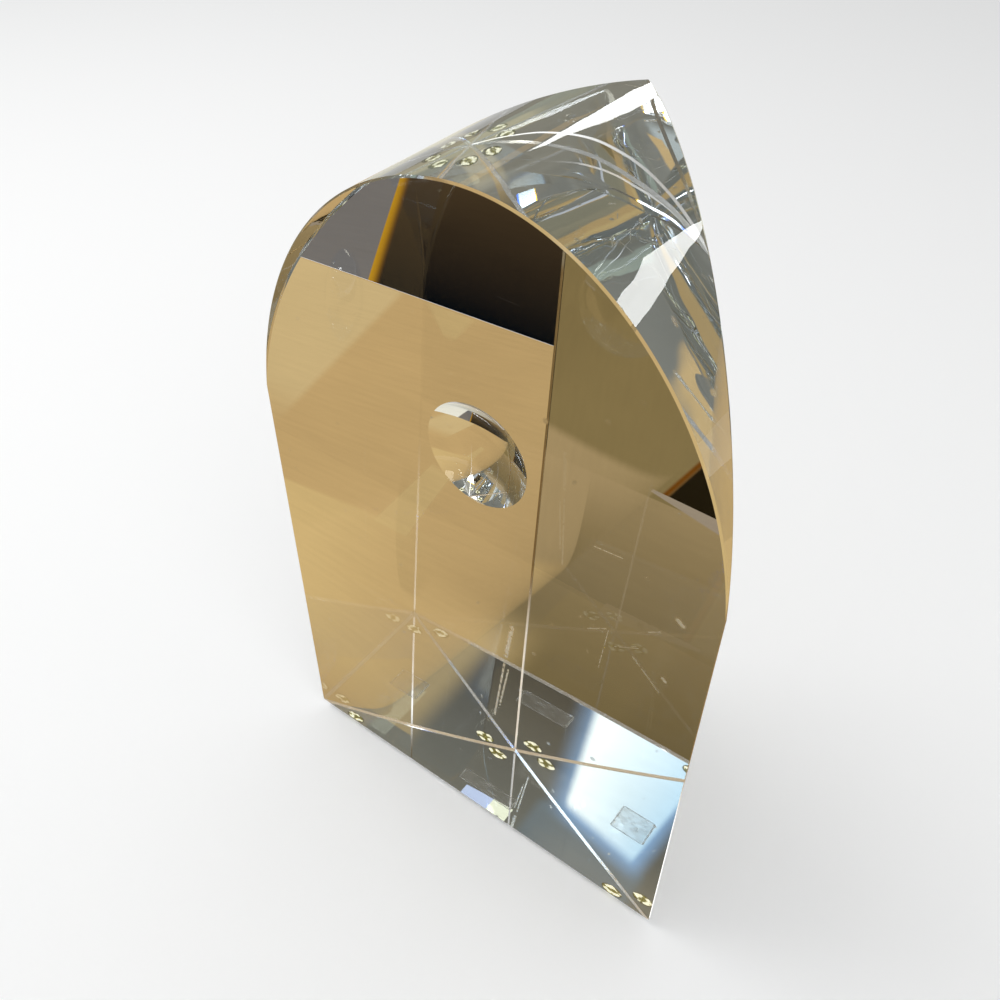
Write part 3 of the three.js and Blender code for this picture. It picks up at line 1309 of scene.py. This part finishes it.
@dataclass(frozen=True)
class Card:
    """A flat studio card: four corners in millimetres, a colour that may run into another, soft edges.

    The corners go round from (u, v) = (0, 0) over (1, 0) and (1, 1) to (0, 1). The colour runs along u,
    and fades are the shares of the card that its u = 0, u = 1, v = 0 and v = 1 edges take to fade out.
    """

    name: str
    corners: tuple[tuple[float, float, float], ...]
    tone: Tone
    far_tone: Tone | None = None
    fades: tuple[float, float, float, float] = (0.0, 0.0, 0.0, 0.0)
    steps: int = 13
    cloud_scale: float = 14.0
    grain_scale: tuple[float, float, float] = (40.0, 420.0, 40.0)
    grain_share: float = 0.8
    mottle: float = 0.2
    least_light: float = 0.82

    def surface(self) -> bpy.types.Object:
        """The card's mesh: point(u, v) is the blend of the four corners, with (u, v) kept as its UV map.

        Returns:
            The card without its colour.
        """
        corner = np.array(self.corners, dtype=float)
        across = np.linspace(0.0, 1.0, self.steps)[:, None]
        near = (1.0 - across) * corner[0] + across * corner[1]
        far = (1.0 - across) * corner[3] + across * corner[2]
        card = mesh_object(self.name, [ruled_patch(near, far, rows=self.steps)], weld=0.0)
        u, v = np.meshgrid(across[:, 0], across[:, 0])
        spots = np.stack([u.ravel(), v.ravel()], axis=-1)
        loops = np.empty(len(card.data.loops), dtype=np.int32)
        card.data.loops.foreach_get("vertex_index", loops)
        layer = card.data.uv_layers.new(name="card")
        layer.data.foreach_set("uv", spots[loops].astype(np.float32).ravel())
        return card

    def cover(self, wires: Wiring, spot: bpy.types.NodeOutputs) -> Socket | None:
        """Share of the card that is there, which falls to 0 at the edges that fade out.

        Args:
            wires: wiring of the material.
            spot: outputs with the card's u and v as X and Y.

        Returns:
            The share, or nothing where no edge fades.
        """
        cover = None
        for place, share in enumerate(self.fades):
            if share > 0.0:
                away = spot["XY"[place // 2]]
                if place % 2:
                    away = wires.math("SUBTRACT", 1.0, away)
                step = wires.ramp(away, 0.0, share)
                cover = step if cover is None else wires.math("MULTIPLY", cover, step)
        return cover

    def glow(self) -> bpy.types.Material:
        """The card's colour, slightly cloudy, clear where its edges fade out.

        Returns:
            The material.
        """
        material, wires = new_material(self.name)
        coordinates = wires.add("ShaderNodeTexCoord").outputs
        spot = wires.add("ShaderNodeSeparateXYZ", {0: coordinates["UV"]}).outputs
        clouds = wires.noise(coordinates["Object"], self.cloud_scale, detail=2.0)
        streaks = wires.add("ShaderNodeMapping", {"Vector": coordinates["Object"], "Scale": self.grain_scale})
        grain = wires.noise(streaks.outputs[0], 1.0, detail=3.0)
        mottle = wires.math("ADD", clouds, wires.math("MULTIPLY", grain, self.grain_share))
        strength = wires.math("ADD", wires.math("MULTIPLY", mottle, self.mottle), self.least_light)
        end = self.far_tone or self.tone
        colour = wires.blend(spot["X"], (*self.tone.value, 1.0), (*end.value, 1.0))
        light = wires.add("ShaderNodeEmission", {"Color": colour, "Strength": strength}).outputs[0]
        cover = self.cover(wires, spot)
        if cover is not None:
            clear = wires.add("ShaderNodeBsdfTransparent").outputs[0]
            light = wires.add("ShaderNodeMixShader", {0: cover, 1: clear, 2: light}).outputs[0]
        wires.add("ShaderNodeOutputMaterial", {"Surface": light})
        return material

    def build(self) -> bpy.types.Object:
        """The card as a stage object.

        Returns:
            The card.
        """
        card = self.surface()
        show_in_crystal(card, self.glow())
        return card


@dataclass(frozen=True)
class RoomShell:
    """A grey half sphere round the studio: point(u, v) = R (cos v cos u, cos v sin u, sin v)."""

    name: str = "room_shell"
    radius: float = 3600.0
    lowest: float = -0.05
    rings: int = 24
    segments: int = 64
    cloud_scale: float = 1.4
    cloud_light: float = 0.9
    least_light: float = 0.55

    def build(self) -> bpy.types.Object:
        """The shell as a stage object.

        Returns:
            The shell.
        """
        lift = np.linspace(self.lowest, math.pi / 2.0, self.rings)
        radius, height = self.radius * np.cos(lift), self.radius * np.sin(lift)
        shell = mesh_object(self.name, [turned_patch(radius, height, (0.0, 0.0), self.segments)])
        material, wires = new_material(self.name)
        clouds = wires.noise(wires.place(), self.cloud_scale, detail=2.0)
        strength = wires.math("ADD", wires.math("MULTIPLY", clouds, self.cloud_light), self.least_light)
        light = wires.add("ShaderNodeEmission", {"Color": (*Tone.ROOM_GREY.value, 1.0), "Strength": strength})
        wires.add("ShaderNodeOutputMaterial", {"Surface": light.outputs[0]})
        show_in_crystal(shell, material)
        return shell


def oblong(x_from: float, x_to: float, y_from: float, y_to: float) -> list[Point]:
    """Corners in plan of a card whose u runs along X and whose v runs along Y."""
    return [(x_from, y_from), (x_to, y_from), (x_to, y_to), (x_from, y_to)]


def level_card(
    name: str,
    height: float,
    plan: list[Point],
    tone: Tone,
    far_tone: Tone | None = None,
    fades: tuple[float, float, float, float] = (0.0, 0.0, 0.0, 0.0),
) -> Card:
    """A card that lies level.

    Args:
        name: name of the card.
        height: its height.
        plan: its four corners in plan.
        tone: colour at u = 0.
        far_tone: colour at u = 1, if it differs.
        fades: shares that its edges take to fade out.

    Returns:
        The card.
    """
    return Card(name, tuple((x, y, height) for x, y in plan), tone, far_tone, fades)


def upright_card(name: str, start: Point, end: Point, heights: tuple[float, float], tone: Tone) -> Card:
    """A card that stands upright.

    Args:
        name: name of the card.
        start: one end of its foot in plan.
        end: the other end.
        heights: its lowest and highest level.
        tone: its colour.

    Returns:
        The card.
    """
    low, high = heights
    return Card(name, ((*start, low), (*end, low), (*end, high), (*start, high)), tone)


def ceiling_panel(
    name: str, plan: list[Point], tone: Tone, height: float = 1000.0, strip_share: float = 0.1
) -> list[Card]:
    """A bright ceiling panel whose two short sides break into colours, as a prism shows them.

    Args:
        name: name of the panel.
        plan: its four corners in plan.
        tone: its colour.
        height: its height.
        strip_share: width of a coloured strip as a share of the panel's.

    Returns:
        The panel's card, an amber strip beside its u = 0 side and a blue one beside its u = 1 side.
    """
    corner = np.array(plan, dtype=float)
    step = (corner[1] - corner[0]) * strip_share
    amber = [tuple(spot) for spot in (corner[0] - step, corner[0], corner[3], corner[3] - step)]
    blue = [tuple(spot) for spot in (corner[1], corner[1] + step, corner[2] + step, corner[2])]
    return [
        level_card(name, height, plan, tone),
        level_card(f"{name}_amber", height, amber, Tone.PANEL_AMBER),
        level_card(f"{name}_blue", height, blue, Tone.PANEL_BLUE),
    ]


def table_cards() -> list[Card]:
    """The table top behind, beside and before the block. Each card lies a hair above the one it covers.

    Returns:
        The cards, in millimetres in the part's frame.
    """
    return [
        level_card("table", 0.1, [(-1200, -150), (1200, -150), (1200, 39), (-1200, 456)], Tone.TABLE_TAN),
        level_card(
            "table_light_far", 0.12, [(-190, 110), (-84, 110), (-55, 256), (-190, 280)], Tone.PALE_TAN,
            fades=(0.3, 0.04, 0.3, 0.0),
        ),
        level_card(
            "table_light_edge", 0.12, [(-46, 254), (-14, 248), (-23, 224), (-27, 224)], Tone.SOFT_TAN,
            fades=(0.2, 0.2, 0.0, 0.3),
        ),
        level_card(
            "table_light_band", 0.12, [(-34, 84), (-18, 84), (-4, 132), (-14, 136)], Tone.SOFT_TAN,
            fades=(0.1, 0.1, 0.0, 0.1),
        ),
        level_card(
            "table_light_near", 0.13, [(-100, -28), (14, -28), (14, 96), (-100, 80)], Tone.WARM_TAN,
            fades=(0.2, 0.8, 0.33, 0.03),
        ),
        level_card(
            "table_far_left", 0.125, [(-1200, 42), (-140, 42), (-165, 205), (-1200, 440)], Tone.GREY_OLIVE,
            fades=(0.0, 0.02, 0.0, 0.0),
        ),
        level_card(
            "table_left", 0.14, [(-300, -160), (-64, -160), (-64, 14), (-300, 20)], Tone.MID_TAN,
            fades=(0.0, 0.04, 0.0, 0.0),
        ),
        level_card(
            "table_left_shade", 0.16, [(-420, -160), (-89, -160), (-165, 40), (-420, 40)], Tone.OLIVE,
            fades=(0.0, 0.03, 0.0, 0.0),
        ),
        level_card(
            "table_front_shade", 0.18, [(140, -28), (140, -150), (-140, -150), (-140, -28)], Tone.DEEP_OLIVE,
            Tone.MID_TAN, fades=(0.0, 0.0, 0.1, 0.3),
        ),
        level_card(
            "table_front_light", 0.19, [(70, -28), (70, -52), (12, -52), (12, -28)], Tone.SOFT_TAN,
            fades=(0.0, 0.85, 0.1, 0.4),
        ),
        level_card(
            "table_front_sliver", 0.28, [(-10, -121), (27, -122.5), (27, -121), (-10, -114)], Tone.SLIVER
        ),
        level_card(
            "table_front_right", 0.22, oblong(-140, 120, -118, -900), Tone.OLIVE, fades=(0.0, 0.15, 0.0, 0.0)
        ),
        level_card("table_front_dark", 0.20, oblong(60, 1200, -118, -900), Tone.NEAR_BLACK),
        level_card(
            "table_front_end", 0.24, [(21.5, -120), (-600, -120), (-600, -1500), (-116, -1500)],
            Tone.NEAR_BLACK, fades=(0.004, 0.0, 0.0, 0.0),
        ),
        level_card(
            "table_front_fringe", 0.26, [(23.5, -120), (19, -120), (15, -160), (19.5, -160)], Tone.BURNT,
            fades=(0.4, 0.5, 0.0, 0.0),
        ),
        # painted shade: the table under the block, where its shadow falls, is shown grey
        level_card("under_base", 0.3, [(-62, -31), (62, -31), (0, 32), (0, 32)], Tone.MAT_GREY),
        level_card(
            "under_edge", 0.34, [(24, -31), (62, -31), (55, -23), (24, -23)], Tone.EDGE_GREY,
            fades=(0.3, 0.0, 0.0, 0.3),
        ),
    ]


def floor_cards() -> list[Card]:
    """What lies beyond the table's far edge.

    Returns:
        The cards, in millimetres in the part's frame.
    """
    return [
        level_card(
            "beyond_dark", 0.1, [(-84, 262.4), (-150, 580), (1200, 580), (1200, 39)], Tone.BLUE_BLACK,
            Tone.BROWN,
        ),
        level_card("beyond_grey", 0.12, [(-76, 261), (-230, 288), (-230, 580), (-116, 580)], Tone.GREY),
        level_card(
            "beyond_light", 0.13, [(-118, 268.5), (-700, 370), (-700, 600), (-150, 600)], Tone.BRIGHT_GREY,
            fades=(0.01, 0.0, 0.0, 0.0),
        ),
        level_card(
            "beyond_fringe", 0.14, [(-77.5, 261.3), (-70, 260), (-109, 580), (-117.5, 580)], Tone.AMBER,
            Tone.BURNT, fades=(0.1, 0.7, 0.0, 0.0),
        ),
        level_card("far_light", 0.1, oblong(-420, 260, 580, 1700), Tone.BRIGHT_GREY, Tone.FAR_GREY),
    ]


def overhead_cards() -> list[Card]:
    """The dim ceiling over the camera, with its window and its two lamps.

    Returns:
        The cards, in millimetres in the part's frame.
    """
    return [
        level_card(
            "overhead_dark", 421, [(-112, -150), (-112, -340), (242, -340), (242, -150)], Tone.CEILING_GREY,
            Tone.CEILING_DARK, fades=(0.0, 0.0, 0.1, 0.08),
        ),
        level_card(
            "overhead_blue", 420.5, [(10, -150), (115, -150), (115, -216), (10, -208)], Tone.CEILING_BLUE,
            fades=(0.1, 0.1, 0.0, 0.1),
        ),
        level_card("overhead_tan", 422, oblong(200, 340, -60, -340), Tone.DULL_TAN),
        level_card("overhead_left", 422, oblong(-210, -60, -150, -340), Tone.DULL_TAN),
        level_card("overhead_corner", 421, oblong(-210, -70, -120, -199), Tone.CEILING_GREY),
        level_card(
            "window_glow", 420, [(0, -340), (160, -340), (108, -204), (14, -192)], Tone.GLOW_BLUE,
            fades=(0.16, 0.30, 0.0, 0.12),
        ),
        level_card(
            "window", 419, [(12, -335), (138, -335), (94, -214), (26, -203)], Tone.WINDOW_BLUE,
            Tone.WINDOW_WHITE, fades=(0.07, 0.12, 0.0, 0.08),
        ),
        level_card(
            "lamp_yellow", 419, [(121, -193), (138, -192), (138, -150), (121, -150)], Tone.LAMP_YELLOW
        ),
        level_card("lamp_blue", 419, [(138, -192), (162, -190), (162, -150), (138, -150)], Tone.LAMP_BLUE),
        level_card(
            "wall_tan", 420, oblong(-347, -290, 300, 520), Tone.WALL_TAN, fades=(0.28, 0.0, 0.0, 0.1)
        ),
    ]


def room_cards() -> list[Card]:
    """The room's high ceiling with its bright panels, and the windows and the wall round it.

    Returns:
        The cards, in millimetres in the part's frame.
    """
    cards = [
        level_card(
            "panel_right", 1000, [(484, 1150), (646, 1130), (990, 1390), (545, 1405)], Tone.PANEL_WHITE
        ),
        level_card(
            "panel_left", 1000, [(-985, 1440), (-610, 1440), (-650, 1880), (-1000, 1880)], Tone.PANEL_SOFT
        ),
        level_card(
            "ceiling_light", 1002, oblong(-1150, -650, 900, 1330), Tone.ROOM_LIGHT, fades=(0.3, 0.3, 0.3, 0.3)
        ),
        upright_card("wall_north_west", (-2500, 1650), (-1300, 2750), (250, 800), Tone.ROOM_GREEN),
        upright_card("window_east", (2600, -1200), (2600, -400), (500, 1300), Tone.PANEL_WARM),
        upright_card("window_west", (-2600, -700), (-2600, -1500), (500, 1300), Tone.PANEL_WARM),
        upright_card("window_south", (-900, -2800), (-300, -2800), (600, 1500), Tone.PANEL_WARM),
        upright_card("window_south_east", (500, -2800), (1000, -2800), (600, 1500), Tone.PANEL_WARM),
    ]
    panels = {
        "panel_front": (oblong(40, 270, -1060, -800), Tone.PANEL_COOL),
        "panel_north": (oblong(70, 170, 680, 775), Tone.PANEL_COOL),
        "panel_south_west": (oblong(-1000, -760, -900, -700), Tone.PANEL_SOFT),
        "panel_west": (oblong(-1500, -1100, -300, 150), Tone.PANEL_SOFT),
        "panel_north_west": (oblong(-810, -690, 690, 860), Tone.PANEL_COOL),
    }
    for name, (plan, tone) in panels.items():
        cards += ceiling_panel(name, plan, tone)
    return cards


def studio_cards() -> list[Card]:
    """All the cards round the block."""
    return table_cards() + floor_cards() + overhead_cards() + room_cards()


@dataclass(frozen=True)
class Softbox:
    """A square lamp with soft light, aimed at the middle of the block."""

    name: str
    place: tuple[float, float, float]
    size: float
    power: float
    aim: tuple[float, float, float] = (0.0, 0.0, 80.0)

    def build(self) -> bpy.types.Object:
        """The lamp as an object.

        Returns:
            The lamp.
        """
        data = bpy.data.lights.new(self.name, "AREA")
        data.shape = "SQUARE"
        data.size = self.size * MM
        data.energy = self.power
        lamp = bpy.data.objects.new(self.name, data)
        way = Vector(self.aim) - Vector(self.place)
        turn = way.to_track_quat("-Z", "Y").to_matrix().to_4x4()
        lamp.matrix_world = Matrix.Translation(Vector(self.place) * MM) @ turn
        lamp.visible_camera = False
        lamp.visible_glossy = False
        lamp.visible_transmission = False
        bpy.context.scene.collection.objects.link(lamp)
        return lamp


@dataclass
class Studio:
    """Pale floor, soft lamps, and the cards that give clear crystal something to show."""

    floor_reach: float = 2500.0
    floor_colour: Colour = (0.93, 0.93, 0.925, 1.0)
    sky_colour: Colour = (0.62, 0.625, 0.63, 1.0)
    lamps: list[Softbox] = field(
        default_factory=lambda: [
            Softbox("key_softbox", (-560.0, -120.0, 960.0), 640.0, 4.6),
            Softbox("fill_softbox", (620.0, -420.0, 960.0), 640.0, 2.0),
        ]
    )
    cards: list[Card] = field(default_factory=studio_cards)
    shell: RoomShell = RoomShell()

    def build_floor(self) -> bpy.types.Object:
        """A plain pale floor that keeps the object's shadow.

        Returns:
            The floor.
        """
        near = np.array([[-1.0, -1.0, 0.0], [1.0, -1.0, 0.0]]) * self.floor_reach
        far = near * np.array([1.0, -1.0, 1.0])
        floor = mesh_object("floor", [ruled_patch(near, far)])
        material, wires = new_material("pale_floor")
        body = wires.add(
            "ShaderNodeBsdfPrincipled",
            {"Base Color": self.floor_colour, "Roughness": 1.0, "Specular IOR Level": 0.0},
        )
        wires.add("ShaderNodeOutputMaterial", {"Surface": body.outputs[0]})
        floor.data.materials.append(material)
        return floor

    def build_sky(self) -> None:
        """Soft light from all round."""
        world = bpy.data.worlds.new("studio_sky")
        world.use_nodes = True
        wires = Wiring(world.node_tree)
        light = wires.add("ShaderNodeBackground", {"Color": self.sky_colour, "Strength": 1.0})
        wires.add("ShaderNodeOutputWorld", {"Surface": light.outputs[0]})
        bpy.context.scene.world = world

    def build(self) -> None:
        """Sets up the floor, the sky, the lamps and the cards."""
        self.build_floor()
        self.build_sky()
        for item in [*self.lamps, self.shell, *self.cards]:
            item.build()
            LOG.info("studio: %s", item.name)


def set_light_paths(crossings: int = 64, clear_crossings: int = 24) -> None:
    """Lets light cross the block many times, as it does in crystal, and keeps colours as they are written.

    Args:
        crossings: how often a ray may be reflected or refracted.
        clear_crossings: how often it may pass straight through a clear place.
    """
    scene = bpy.context.scene
    scene.view_settings.view_transform = "Standard"
    scene.cycles.max_bounces = crossings
    scene.cycles.transmission_bounces = crossings
    scene.cycles.glossy_bounces = crossings
    scene.cycles.transparent_max_bounces = clear_crossings


def main() -> None:
    """Builds the pieces in order, then the studio and the camera."""
    logging.basicConfig(level=logging.INFO, format="%(name)s %(message)s")
    effects = Effects()
    CrystalBlock.from_frame("crystal_block").dress(effects)
    for node in ("foot_left", "foot_right", "foot_ridge"):
        BumperFoot(node).dress(effects)
    BaseLabel().dress(effects)
    Studio().build()
    PhotoCamera().build()
    set_light_paths()


if __name__ == "__main__":
    main()
